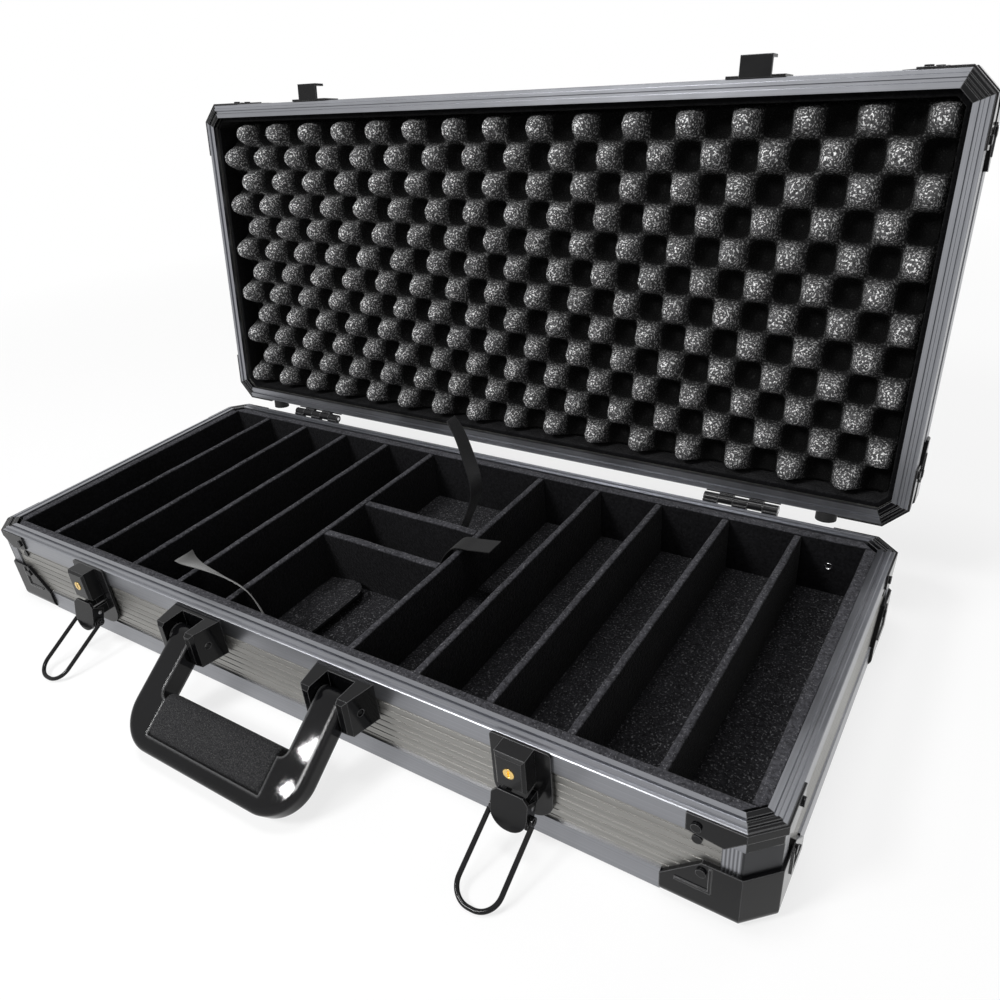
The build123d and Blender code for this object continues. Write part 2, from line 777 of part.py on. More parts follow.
# ---- Lid shell
save_open(turned_over(make_panel()), "lid_panel")
for side in ("front", "back", "left", "right"):
    save_open(turned_over(make_board(side, lid_height)), f"lid_board_{side}")
save_open(turned_over(make_edge_rails()), "lid_edge_rails")
save_open(turned_over(make_rim_rails(lid_height)), "lid_rim_rails")
save_open(turned_over(make_posts(lid_height, lid_guard_peak)), "lid_corner_posts")
save_open(turned_over(make_rim_corners(lid_height)), "lid_rim_corners")
save_open(turned_over(make_guards(lid_guard_low, lid_guard_peak)), "lid_corner_guards")
lid_spots = [
    (tab_rivet_reach, lid_height - tab_rivet_depth, tab_skin),
    (guard_rivet_reach, lid_guard_peak - lid_guard_rivet_drop, guard_skin),
]
save_open(turned_over(make_rivets(lid_spots)), "lid_rivets")

# ---- Lid lining
with BuildPart() as lid_liner:
    ring(floor_top, lid_height - lid_liner_drop, rim_width, rim_width + lid_liner_thickness)
save_open(turned_over(lid_liner), "lid_liner")

foam_inset = rim_width + lid_liner_thickness + foam_clearance
with BuildPart() as lid_foam:
    extrude(Plane.XY.offset(floor_top) * case_plan(foam_inset), foam_back)
save_open(turned_over(lid_foam), "lid_foam")


foam_start = floor_top + foam_back
foam_middle = foam_start + foam_depth / 2
foam_cell_length = (case_length - 2 * foam_inset) / (2 * foam_columns)
foam_cell_width = (case_width - 2 * foam_inset) / foam_rows
foam_edge = (1 - foam_peak_share) * foam_cell_length / 2


def foam_spots(level, corner_side):
    """Every other cell of the foam at a level, with one in the front corner on one side (-1 left, 1 right)."""
    with BuildSketch(Plane.XY.offset(level)) as spots:
        for row_side in (-1, 1):
            shift = -row_side * corner_side * foam_cell_length / 2
            with Locations((shift, row_side * foam_cell_width / 2)):
                with GridLocations(2 * foam_cell_length, 2 * foam_cell_width, foam_columns, foam_rows // 2):
                    Rectangle(foam_peak_share * foam_cell_length, foam_peak_share * foam_cell_width)
        add(case_plan(foam_inset + foam_edge), mode=Mode.INTERSECT)
    return spots.sketch


with BuildPart() as foam_peaks:
    extrude(Plane.XY.offset(foam_start) * case_plan(foam_inset), foam_depth / 2)
    extrude(foam_spots(foam_middle, 1), foam_depth / 2, taper=foam_taper)
    extrude(foam_spots(foam_middle, -1), foam_depth / 2, dir=(0, 0, -1), taper=foam_taper, mode=Mode.SUBTRACT)
save_open(turned_over(foam_peaks), "foam_peaks")

# ---- Lid fittings, made shut
lid_leaves = make_leaves(range(1, hinge_knuckles, 2), 1, hinge_pin_radius + running_gap)
save_open(lid_leaves.part, "lid_hinge_leaves")
save_open(make_feet(lid_foot_level, 0).part, "lid_feet")

with BuildPart() as strikes:
    for at in latch_sides.values():
        with Locations((at, -half_width - strike_thickness / 2, lid_rim + strike_rise + strike_height / 2)):
            Box(plate_width, strike_thickness, strike_height)
        with Locations((at, -half_width - strike_reach / 2, strike_seat - strike_metal / 2)):
            Box(strike_width, strike_reach, strike_metal)
        with Locations((at, strike_metal / 2 - half_width - strike_reach, strike_seat + strike_lip / 2)):
            Box(strike_width, strike_metal, strike_lip)
save_open(strikes.part, "strikes")
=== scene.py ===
import json
import math

import bmesh
import bpy
from mathutils import Matrix, Vector, noise


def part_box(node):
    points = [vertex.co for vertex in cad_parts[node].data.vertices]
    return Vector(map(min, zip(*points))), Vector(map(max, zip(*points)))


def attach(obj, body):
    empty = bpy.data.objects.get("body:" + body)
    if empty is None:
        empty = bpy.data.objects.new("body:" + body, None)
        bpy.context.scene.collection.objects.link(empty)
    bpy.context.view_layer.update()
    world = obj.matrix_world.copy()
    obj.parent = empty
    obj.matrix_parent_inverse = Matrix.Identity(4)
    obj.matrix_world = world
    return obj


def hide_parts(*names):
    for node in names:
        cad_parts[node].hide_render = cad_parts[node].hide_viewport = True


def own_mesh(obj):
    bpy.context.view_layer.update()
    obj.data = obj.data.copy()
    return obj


bl_info = {
    "name": "Chip case dressing",
    "version": (1, 0, 0),
    "blender": (4, 5, 0),
    "location": "View3D > Sidebar > Chip case",
    "description": "Felt, foam, ribbons, finishes and a plain stage for a poker chip case",
    "category": "Object",
}

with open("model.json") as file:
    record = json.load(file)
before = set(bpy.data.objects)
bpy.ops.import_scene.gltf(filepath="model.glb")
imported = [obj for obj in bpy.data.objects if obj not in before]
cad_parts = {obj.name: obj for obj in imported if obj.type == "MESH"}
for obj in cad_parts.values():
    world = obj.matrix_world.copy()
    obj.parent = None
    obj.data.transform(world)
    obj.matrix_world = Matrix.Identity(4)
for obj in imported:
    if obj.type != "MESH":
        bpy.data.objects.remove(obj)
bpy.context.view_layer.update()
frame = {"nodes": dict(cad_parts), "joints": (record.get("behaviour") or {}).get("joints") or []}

MM = 0.001
JOINTS = {joint["name"]: joint for joint in frame["joints"]}
LID_PIN = Vector(JOINTS["lid_hinge"]["pos_m"])
LID_TURN = math.radians(JOINTS["lid_hinge"]["range_deg"][0])
HANDLE_PIN = Vector(JOINTS["handle_swing"]["pos_m"])
SMALL = 1e-5
SIDE_RAILS_FROM = 0.2695  # from the middle, where the front and back rails end
CORNER_CUT_FROM = 0.387  # x and y from the middle, added up, on the cut corners
POST_RIB_PITCH = 0.0016
# felt gets painted top light only above a height; this one is never reached
NEVER_TOP_LIT = 10.0  # a height that no felt reaches
ORIGIN = (0.0, 0.0, 0.0)


# ---- Sizes and colours that a user would change
def length(name, description, default):
    return bpy.props.FloatProperty(
        name=name, description=description, default=default, unit="LENGTH", precision=5
    )


def whole_number(name, description, default):
    return bpy.props.IntProperty(name=name, description=description, default=default, min=1)


def colour(name, description, default):
    return bpy.props.FloatVectorProperty(
        name=name, description=description, default=default, subtype="COLOR", size=3, min=0, max=1
    )


class ChipCaseSizes(bpy.types.PropertyGroup):
    """Sizes of the soft pieces."""

    felt_round: length("Felt edge round", "Radius where felt turns over a board's edge", 0.0011)
    felt_sag: length("Felt unevenness", "How far the felt wanders from flat", 0.0003)
    foam_columns: whole_number("Foam columns", "Foam peaks in each row", 16)
    foam_rows: whole_number("Foam rows", "Rows of foam peaks", 12)
    foam_sharpness: bpy.props.FloatProperty(
        name="Foam sharpness",
        description="How narrow the peaks are against the pits",
        default=1.1,
        min=0.5,
        max=3,
    )
    foam_back: length("Foam back", "Foam left under the valleys", 0.008)
    foam_rim: length("Foam edge fall", "Width over which the peaks die out at the foam's edge", 0.003)
    foam_step: length("Foam step", "Spacing of the foam's mesh", 0.0021)
    ribbon_width: length("Ribbon width", "Width of the lifting ribbons", 0.014)
    ribbon_thickness: length("Ribbon thickness", "Thickness of the lifting ribbons", 0.0006)
    flap_thickness: length("Flap thickness", "Thickness of the loose felt flap", 0.0016)
    flap_round: length("Flap corner", "Radius of the flap's two free corners", 0.016)
    grip_length: length("Grip length", "Length of the foam grip along the handle", 0.088)
    grip_thickness: length("Grip thickness", "Thickness of the foam grip", 0.0165)
    grip_start: length("Grip start", "From the handle's pins to the near side of the grip", 0.03125)
    grip_end: length("Grip end", "From the handle's pins to the far side of the grip", 0.057)
    rivet_radius: length("Liner rivet radius", "Radius of the small rivet in the felt liner", 0.0026)
    handle_lean: bpy.props.FloatProperty(
        name="Handle lean",
        description="How far the handle hangs below level",
        default=math.radians(35),
        subtype="ANGLE",
    )


class ChipCaseColours(bpy.types.PropertyGroup):
    """Colours of the finishes."""

    panel: colour("Panel metal", "Grooved side boards", (0.275, 0.271, 0.258))
    rail: colour("Rail metal", "Satin rails", (0.245, 0.25, 0.268))
    black: colour("Black fittings", "Gloss corners, brackets and handle", (0.0035, 0.0035, 0.004))
    latch: colour("Latch black", "Plated latches", (0.007, 0.007, 0.0075))
    steel: colour("Bright steel", "Rivets and hinges", (0.62, 0.62, 0.63))
    brass: colour("Lock brass", "Lock plugs", (0.80, 0.56, 0.20))
    felt: colour("Felt", "Tray and lining", (0.0155, 0.0155, 0.0175))
    foam: colour("Foam", "Lid foam", (0.095, 0.095, 0.097))
    light_ribbon: colour("Light ribbon", "Grey lifting ribbon", (0.11, 0.11, 0.108))
    dark_ribbon: colour("Dark ribbon", "Dark lifting ribbon", (0.0022, 0.0022, 0.0025))
    black_ribbon: colour("Black ribbon", "Satin lifting ribbon", (0.009, 0.009, 0.010))
    grip: colour("Grip foam", "Handle grip", (0.028, 0.028, 0.030))
    rubber: colour("Rubber", "Feet", (0.010, 0.010, 0.010))
    stage: colour("Stage", "Floor and backdrop", (0.86, 0.86, 0.86))


# ---- Working on one piece at a time
def nothing_picked():
    if bpy.context.mode != "OBJECT":
        bpy.ops.object.mode_set(mode="OBJECT")
    bpy.ops.object.select_all(action="DESELECT")


def only(piece):
    nothing_picked()
    piece.select_set(True)
    bpy.context.view_layer.objects.active = piece


def pick(piece, kind, test):
    """Goes into edit mode with only the vertices, edges or faces that pass the test selected."""
    only(piece)
    bpy.ops.object.mode_set(mode="EDIT")
    bpy.ops.mesh.select_mode(type=kind)
    bpy.ops.mesh.select_all(action="DESELECT")
    shape = bmesh.from_edit_mesh(piece.data)
    for item in {"VERT": shape.verts, "EDGE": shape.edges, "FACE": shape.faces}[kind]:
        if test(item):
            item.select_set(True)
    shape.select_flush_mode()
    bmesh.update_edit_mesh(piece.data)


def object_mode():
    bpy.ops.object.mode_set(mode="OBJECT")


def middle(edge):
    return (edge.verts[0].co + edge.verts[1].co) / 2


def run(edge):
    """From one end of the edge to the other."""
    return edge.verts[0].co - edge.verts[1].co


def bevel_edges(piece, test, offset, segments):
    pick(piece, "EDGE", test)
    bpy.ops.mesh.bevel(offset=offset, segments=segments, affect="EDGES")
    object_mode()


def divide_edges(piece, test, cuts):
    pick(piece, "EDGE", test)
    bpy.ops.mesh.subdivide(number_cuts=cuts)
    object_mode()


def trim_corners(piece, far, cut):
    """Cuts the square corners at far x and y off at 45 degrees, where the piece reaches them."""
    for flip_x, flip_y in ((-1, -1), (-1, 1), (1, -1), (1, 1)):
        outward = Vector((flip_x, flip_y, 0)).normalized()
        on_plane = Vector((flip_x * far.x, flip_y * far.y, 0)) - outward * (cut / math.sqrt(2))
        if not any((vertex.co - on_plane).dot(outward) > SMALL for vertex in piece.data.vertices):
            continue
        pick(piece, "FACE", lambda face: True)
        bpy.ops.mesh.bisect(plane_co=on_plane, plane_no=outward, use_fill=True, clear_outer=True)
        object_mode()


def block(name, low, high):
    """A cube at its size and place, ready to be shaped."""
    nothing_picked()
    low, high = Vector(low), Vector(high)
    bpy.ops.mesh.primitive_cube_add(size=1, location=(low + high) / 2, scale=high - low)
    piece = bpy.context.active_object
    piece.name = piece.data.name = name
    bpy.ops.object.transform_apply(location=True, rotation=True, scale=True)
    return piece


def finish_with(piece, kind, **settings):
    """Adds a modifier and applies it."""
    only(piece)
    modifier = piece.modifiers.new(kind.title(), kind)
    for key, value in settings.items():
        setattr(modifier, key, value)
    bpy.ops.object.modifier_apply(modifier=modifier.name)


def smooth(piece, degrees=40):
    only(piece)
    bpy.ops.object.shade_smooth_by_angle(angle=math.radians(degrees))


def copied(piece, name, shift):
    """Another of the same piece, with its own mesh."""
    other = piece.copy()
    other.data = piece.data.copy()
    other.name = other.data.name = name
    other.data.transform(Matrix.Translation(shift))
    bpy.context.scene.collection.objects.link(other)
    return other


def from_points(name, points, faces):
    mesh = bpy.data.meshes.new(name)
    mesh.from_pydata([tuple(point) for point in points], [], faces)
    mesh.update()
    piece = bpy.data.objects.new(name, mesh)
    bpy.context.scene.collection.objects.link(piece)
    return piece


def finish_mesh(mesh, finish):
    mesh.materials.clear()
    mesh.materials.append(bpy.data.materials[finish])


def dressed(piece, finish, body):
    """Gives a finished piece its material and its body."""
    finish_mesh(piece.data, finish)
    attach(piece, body)


def lid_open():
    """Takes a point of the shut lid to where it lies with the lid open."""
    return Matrix.Translation(LID_PIN) @ Matrix.Rotation(LID_TURN, 4, "X") @ Matrix.Translation(-LID_PIN)


def shut_box(node):
    """Lowest and highest corner of a lid node, with the lid shut."""
    back = lid_open().inverted()
    points = [back @ vertex.co for vertex in frame["nodes"][node].data.vertices]
    low = Vector([min(point[axis] for point in points) for axis in range(3)])
    high = Vector([max(point[axis] for point in points) for axis in range(3)])
    return low, high


def handle_place():
    """The handle's own plane: x along its pins, y out along its arms, z through its thickness."""
    lean = bpy.context.scene.chip_case_sizes.handle_lean
    return Matrix.Translation(HANDLE_PIN) @ Matrix.Rotation(math.pi + lean, 4, "X")


# ---- Building materials
def add_node(tree, kind, inputs=None, **settings):
    """Adds a shader node; an input that is a socket is linked, and any other value is set."""
    node = tree.nodes.new(f"ShaderNode{kind}")
    for key, value in settings.items():
        setattr(node, key, value)
    for key, value in (inputs or {}).items():
        socket = node.inputs[key]
        if isinstance(value, bpy.types.NodeSocket):
            tree.links.new(value, socket)
        else:
            socket.default_value = value
    return node


def calculate(tree, operation, *values):
    inputs = dict(enumerate(values))
    return add_node(tree, "Math", inputs, operation=operation).outputs[0]


def times(tree, *values):
    return calculate(tree, "MULTIPLY", *values)


def spread(tree, value, low, high, start=0.0, end=1.0):
    """Maps low..high of a value onto start..end."""
    inputs = {"Value": value, "From Min": low, "From Max": high, "To Min": start, "To Max": end}
    return add_node(tree, "MapRange", inputs).outputs[0]


def weigh(tree, first, share, second, other_share):
    """Adds up two values, each by its share."""
    parts = (times(tree, first, share), times(tree, second, other_share))
    return calculate(tree, "ADD", *parts)


def magnitude(tree, value):
    return calculate(tree, "ABSOLUTE", value)


def part_of(tree, place, axis):
    return add_node(tree, "SeparateXYZ", {"Vector": place}).outputs[axis]


def blend_colours(tree, factor, first, second):
    node = add_node(tree, "Mix", {0: factor}, data_type="RGBA")
    for index, value in ((6, first), (7, second)):
        if isinstance(value, bpy.types.NodeSocket):
            tree.links.new(value, node.inputs[index])
        else:
            node.inputs[index].default_value = (*value[:3], 1)
    return node.outputs[2]


def grain(tree, place, scale, detail=2.0, roughness=0.5):
    inputs = {"Vector": place, "Scale": scale, "Detail": detail, "Roughness": roughness}
    return add_node(tree, "TexNoise", inputs).outputs[0]


def object_place(tree, scale=(1, 1, 1), turn=(0, 0, 0)):
    """Object coordinates, turned first and then stretched."""
    place = add_node(tree, "TexCoord").outputs["Object"]
    turned = add_node(tree, "Mapping", {"Vector": place, "Rotation": turn}).outputs[0]
    return add_node(tree, "Mapping", {"Vector": turned, "Scale": scale}).outputs[0]


def effect(name, inputs, outputs, build):
    """A shared effect: a node group with named sockets, built once."""
    if name in bpy.data.node_groups:
        return bpy.data.node_groups[name]
    tree = bpy.data.node_groups.new(name, "ShaderNodeTree")
    for label, default in inputs.items():
        kind = "NodeSocketVector" if isinstance(default, tuple) else "NodeSocketFloat"
        tree.interface.new_socket(label, in_out="INPUT", socket_type=kind).default_value = default
    for label in outputs:
        kind = "NodeSocketVector" if label == "Normal" else "NodeSocketFloat"
        tree.interface.new_socket(label, in_out="OUTPUT", socket_type=kind)
    given = tree.nodes.new("NodeGroupInput").outputs
    result = tree.nodes.new("NodeGroupOutput").inputs
    for label, value in build(tree, given).items():
        tree.links.new(value, result[label])
    return tree


def use(tree, group, inputs=None):
    return add_node(tree, "Group", inputs, node_tree=group).outputs


def seen_directly(tree):
    """One for rays that show a surface as it is: from the camera, off gloss or through glass."""
    rays = add_node(tree, "LightPath").outputs
    seen = calculate(tree, "MAXIMUM", rays["Is Camera Ray"], rays["Is Glossy Ray"])
    return calculate(tree, "MAXIMUM", seen, rays["Is Transmission Ray"])


def soft_edges():
    """Rounds sharp edges in the shading, and gives a mask along them that is used for painted edge
    highlights.
    """

    def build(tree, given):
        rounded = add_node(tree, "Bevel", {"Radius": given["Radius"]}, samples=6).outputs[0]
        flat = add_node(tree, "NewGeometry").outputs["Normal"]
        turn = add_node(tree, "VectorMath", {0: rounded, 1: flat}, operation="DOT_PRODUCT")
        edge = spread(tree, magnitude(tree, turn.outputs["Value"]), 0.995, 0.85)
        return {"Normal": rounded, "Edge": edge}

    return effect("Soft edges", {"Radius": 0.0006}, ("Normal", "Edge"), build)


def handling_marks():
    """Broad smudges and fine scuffs from handling."""

    def build(tree, given):
        smudge = grain(tree, given["Place"], 26, 3)
        scuff = grain(tree, given["Place"], 240, 4, 0.7)
        broad = spread(tree, smudge, 0.35, 0.7)
        fine = spread(tree, scuff, 0.45, 0.75)
        return {"Mask": weigh(tree, broad, 0.7, fine, 0.3), "Fine": fine}

    return effect("Handling marks", {"Place": ORIGIN}, ("Mask", "Fine"), build)


def brushed_lines():
    """Long fine scratches along the first axis of Place."""

    def build(tree, given):
        place = add_node(tree, "Mapping", {"Vector": given["Place"], "Scale": (0.8, 700, 700)}).outputs[0]
        broad = add_node(tree, "Mapping", {"Vector": given["Place"], "Scale": (0.5, 170, 170)}).outputs[0]
        lines = grain(tree, place, 1, 3, 0.6)
        bands = grain(tree, broad, 1, 2, 0.5)
        return {"Lines": spread(tree, weigh(tree, lines, 0.6, bands, 0.4), 0.3, 0.7), "Height": lines}

    return effect("Brushed lines", {"Place": ORIGIN}, ("Lines", "Height"), build)


def fibres():
    """Short matted fibres with a few lighter specks."""

    def build(tree, given):
        fine = times(tree, given["Scale"], 1.5)
        mat = grain(tree, given["Place"], given["Scale"], 4, 0.65)
        speck = grain(tree, given["Place"], fine, 2, 0.6)
        patches = grain(tree, given["Place"], 18, 3)
        close, wide = spread(tree, mat, 0.3, 0.7, 0, 0.75), spread(tree, patches, 0.3, 0.7, 0, 0.25)
        tone = calculate(tree, "ADD", close, wide)
        height = calculate(tree, "ADD", mat, times(tree, speck, 0.6))
        return {"Tone": tone, "Specks": spread(tree, speck, 0.58, 0.7), "Height": height}

    inputs = {"Place": ORIGIN, "Scale": 700.0}
    return effect("Matted fibres", inputs, ("Tone", "Specks", "Height"), build)


def woven_tape():
    """Plain weave read from the tape's own UV map, in metres across and along."""

    def build(tree, given):
        place = add_node(tree, "UVMap").outputs[0]
        parts = add_node(tree, "SeparateXYZ", {0: place}).outputs
        across = calculate(tree, "SINE", times(tree, parts[0], given["Warp"]))
        along = calculate(tree, "SINE", times(tree, parts[1], given["Weft"]))
        cross = times(tree, across, along)
        uneven = grain(tree, place, 900, 3, 0.6)
        threads = spread(tree, cross, -1, 1, 0, 0.7)
        shade = calculate(tree, "ADD", threads, times(tree, uneven, 0.3))
        return {"Shade": shade, "Height": shade}

    return effect("Woven tape", {"Warp": 9000.0, "Weft": 7000.0}, ("Shade", "Height"), build)


def new_material(name, **shader_values):
    """A material's tree and its Principled shader; what is the same all over is set on the shader."""
    material = bpy.data.materials.new(name)
    material.use_nodes = True
    tree = material.node_tree
    shader = tree.nodes["Principled BSDF"]
    for key, value in shader_values.items():
        shader.inputs[key.replace("_", " ").title().replace("Ior", "IOR")].default_value = value
    return tree, shader


def wire_up(tree, shader, **sockets):
    for key, value in sockets.items():
        tree.links.new(value, shader.inputs[key.replace("_", " ").title()])


def raised(tree, height, distance, strength=1.0, normal=None):
    inputs = {"Height": height, "Distance": distance, "Strength": strength}
    if normal is not None:
        inputs["Normal"] = normal
    return add_node(tree, "Bump", inputs).outputs[0]


def shade_of(base, share):
    return tuple(min(1.0, part * share) for part in base[:3])


def shades(tree, factor, base, first, second):
    """Goes from one share of a colour to another."""
    return blend_colours(tree, factor, shade_of(base, first), shade_of(base, second))


def panel_metal(name, turn):
    """Brushed board metal, with its lines along the wall."""
    base = bpy.context.scene.chip_case_colours.panel
    tree, shader = new_material(name, metallic=1.0)
    place = object_place(tree, turn=turn)
    lines = use(tree, brushed_lines(), {"Place": place})
    marks = use(tree, handling_marks(), {"Place": place})
    edges = use(tree, soft_edges(), {"Radius": 0.00025})
    tone = shades(tree, lines["Lines"], base, 0.72, 1.22)
    # painted highlight: a paler colour along the groove edges
    tone = blend_colours(tree, times(tree, edges["Edge"], 0.12), tone, shade_of(base, 1.6))
    smudged = spread(tree, marks["Mask"], 0, 1, 0.36, 0.46)
    rough = calculate(tree, "ADD", smudged, spread(tree, lines["Lines"], 0, 1, 0, 0.08))
    normal = raised(tree, lines["Height"], 0.00002, 0.3, edges["Normal"])
    wire_up(tree, shader, base_color=tone, roughness=rough, normal=normal)


def rail_metal(name, side_turn):
    """Satin metal with faint lines along each rail; side_turn brings the side rails' length to X."""
    base = bpy.context.scene.chip_case_colours.rail
    tree, shader = new_material(name, metallic=1.0)
    place = object_place(tree)
    from_middle = magnitude(tree, part_of(tree, place, "X"))
    at_side = calculate(tree, "GREATER_THAN", from_middle, SIDE_RAILS_FROM)
    sideways = object_place(tree, turn=side_turn)
    along = add_node(tree, "Mix", {0: at_side, 4: place, 5: sideways}, data_type="VECTOR").outputs[1]
    lines = use(tree, brushed_lines(), {"Place": along})
    marks = use(tree, handling_marks(), {"Place": place})
    tone = shades(tree, lines["Lines"], base, 0.8, 1.2)
    rough = spread(tree, marks["Mask"], 0, 1, 0.28, 0.4)
    normal = raised(tree, lines["Height"], 0.00001, 0.15)
    wire_up(tree, shader, base_color=tone, roughness=rough, normal=normal)


def ribbed_posts(name):
    """Satin posts with fine upright ribs on their flat faces, painted as light and dark stripes, and a cut
    corner darkened with painted shade.
    """
    base = bpy.context.scene.chip_case_colours.rail
    tree, shader = new_material(name, metallic=1.0)
    place = object_place(tree)
    out_x, out_y = (magnitude(tree, part_of(tree, place, axis)) for axis in ("X", "Y"))
    around = calculate(tree, "ADD", out_x, out_y)
    ribs = calculate(tree, "SINE", times(tree, around, math.tau / POST_RIB_PITCH))
    cut = calculate(tree, "GREATER_THAN", around, CORNER_CUT_FROM)
    marks = use(tree, handling_marks(), {"Place": place})
    # painted light and shade: the ribs show as paler and darker stripes in the colour
    tone = shades(tree, spread(tree, ribs, -1, 1), base, 0.45, 1.25)
    # painted shade on the cut corner
    tone = blend_colours(tree, cut, tone, shade_of(base, 0.14))
    rough = spread(tree, marks["Mask"], 0, 1, 0.28, 0.42)
    wire_up(tree, shader, base_color=tone, roughness=rough, normal=raised(tree, ribs, 0.0001, 0.5))


def smudged_finish(name, base, shares, rough, radius, strength, painted_edge_highlight=None, **shader_values):
    """A smooth finish with rounded edges and smudges between two shares of its colour, and, when a colour is
    given, a painted highlight along its edges.
    """
    tree, shader = new_material(name, **shader_values)
    marks = use(tree, handling_marks(), {"Place": object_place(tree)})
    edges = use(tree, soft_edges(), {"Radius": radius})
    tone = shades(tree, marks["Mask"], base, *shares)
    if painted_edge_highlight:
        # painted highlight along the edges
        tone = blend_colours(tree, times(tree, edges["Edge"], 0.5), tone, painted_edge_highlight)
    roughness = spread(tree, marks["Mask"], 0, 1, *rough)
    normal = raised(tree, marks["Fine"], 0.00001, strength, edges["Normal"])
    wire_up(tree, shader, base_color=tone, roughness=roughness, normal=normal)


def gloss_black(name, base, rough=(0.07, 0.2), radius=0.0008):
    # the colour of the painted highlight along the edges
    pale = (0.24, 0.24, 0.245)
    smudged_finish(name, base, (0.8, 1.5), rough, radius, 0.25, pale, ior=1.5, specular_ior_level=0.17)


def bright_metal(name, base, rough=(0.12, 0.32)):
    smudged_finish(name, base, (1.1, 0.75), rough, 0.0003, 0.3, metallic=1.0)


def matted_felt(name, base, scale=520.0, specks=0.24, lit_above=NEVER_TOP_LIT):
    """Felt darker on upright faces with painted shade, and paler with painted top light where it is flat and
    above a height.
    """
    tree, shader = new_material(
        name, roughness=0.95, specular_ior_level=0.05, sheen_weight=0.04, sheen_roughness=0.4
    )
    place = object_place(tree)
    nap = use(tree, fibres(), {"Place": place, "Scale": scale})
    normal = add_node(tree, "TexCoord").outputs["Normal"]
    # painted light and shade: faces that point up take the lit tones, and upright faces take the darker
    # shaded one
    flat = spread(tree, part_of(tree, normal, "Z"), 0.3, 0.8)
    # painted top light on felt above a height, such as the divider tops
    height = spread(tree, part_of(tree, place, "Z"), lit_above - 6 * MM, lit_above)
    shaded_upright_tone = shades(tree, nap["Tone"], base, 0.12, 0.75)
    flat_tone = shades(tree, nap["Tone"], base, 0.1, 1.5)
    top_lit_tone = shades(tree, nap["Tone"], base, 0.4, 5.0)
    tone = blend_colours(tree, height, flat_tone, top_lit_tone)
    tone = blend_colours(tree, flat, shaded_upright_tone, tone)
    glint = times(tree, times(tree, nap["Specks"], 0.45), flat)
    tone = blend_colours(tree, glint, tone, (specks, specks, specks * 1.05))
    wire_up(tree, shader, base_color=tone, normal=raised(tree, nap["Height"], 0.0012, 0.9))


def open_foam(name, base, specks, scale=420.0, pits=False):
    """Open-cell foam: dark cells between paler walls with painted glinting specks, and painted shade making
    it dimmer down in its pits.
    """
    tree, shader = new_material(name, specular_ior_level=0.15)
    place = object_place(tree)
    inputs = {"Vector": place, "Scale": scale * 1.6}
    cells = add_node(tree, "TexVoronoi", inputs, feature="DISTANCE_TO_EDGE").outputs[0]
    walls = spread(tree, cells, 0.16, 0.02)
    lumps = grain(tree, place, scale, 3, 0.7)
    # painted glint: pale specks in the colour stand in for light glinting off the cell walls
    painted_glints = spread(tree, grain(tree, place, scale * 2, 2, 0.6), 0.56, 0.60)
    tone = shades(tree, spread(tree, lumps, 0.3, 0.7), base, 0.25, 1.4)
    tone = blend_colours(tree, times(tree, walls, 0.35), tone, shade_of(base, 2.2))
    tone = blend_colours(tree, painted_glints, tone, (specks, specks, specks))
    # painted shade: the colour goes near black down in the pits, standing in for the shade between the peaks
    if pits:
        peak = add_node(tree, "Attribute", attribute_name="peak_height").outputs["Fac"]
        tone = blend_colours(tree, spread(tree, peak, 0.38, 0.95), shade_of(base, 0.012), tone)
    rough = spread(tree, painted_glints, 0, 1, 0.9, 0.45)
    height = calculate(tree, "ADD", lumps, times(tree, walls, 0.5))
    wire_up(tree, shader, base_color=tone, roughness=rough, normal=raised(tree, height, 0.0008, 0.9))


def tape(name, base, rough, sheen):
    tree, shader = new_material(name, roughness=rough, sheen_weight=sheen, specular_ior_level=0.4)
    weave = use(tree, woven_tape())
    tone = shades(tree, weave["Shade"], base, 0.6, 1.35)
    wire_up(tree, shader, base_color=tone, normal=raised(tree, weave["Height"], 0.00012, 0.7))


def matt_rubber(name, base):
    tree, shader = new_material(name, specular_ior_level=0.35)
    place = object_place(tree)
    marks = use(tree, handling_marks(), {"Place": place})
    pores = grain(tree, place, 1400, 3, 0.6)
    tone = shades(tree, marks["Mask"], base, 0.8, 1.6)
    rough = spread(tree, marks["Mask"], 0, 1, 0.62, 0.82)
    edges = use(tree, soft_edges(), {"Radius": 0.0008})
    normal = raised(tree, pores, 0.0002, 0.5, edges["Normal"])
    wire_up(tree, shader, base_color=tone, roughness=rough, normal=normal)


def stage_paint(name, base):
    """Pale paint that shows as clean white to the camera and in reflections, and keeps the shadow."""
    tree, shader = new_material(name, roughness=1.0, specular_ior_level=0.0)
    mottle = grain(tree, object_place(tree), 3, 2)
    tone = shades(tree, mottle, base, 0.99, 1.01)
    wire_up(tree, shader, base_color=tone)
    glow = add_node(tree, "Emission", {"Color": (1, 1, 1, 1), "Strength": 1.0}).outputs[0]
    place = add_node(tree, "TexCoord").outputs["Object"]
    from_middle = add_node(tree, "VectorMath", {0: place}, operation="LENGTH").outputs["Value"]
    whiter_outwards = spread(tree, from_middle, 0.4, 1.3, 0.78, 1.0)
    share = times(tree, seen_directly(tree), whiter_outwards)
    mixed = add_node(tree, "MixShader", {0: share, 1: shader.outputs[0], 2: glow}).outputs[0]
    tree.links.new(mixed, tree.nodes["Material Output"].inputs["Surface"])


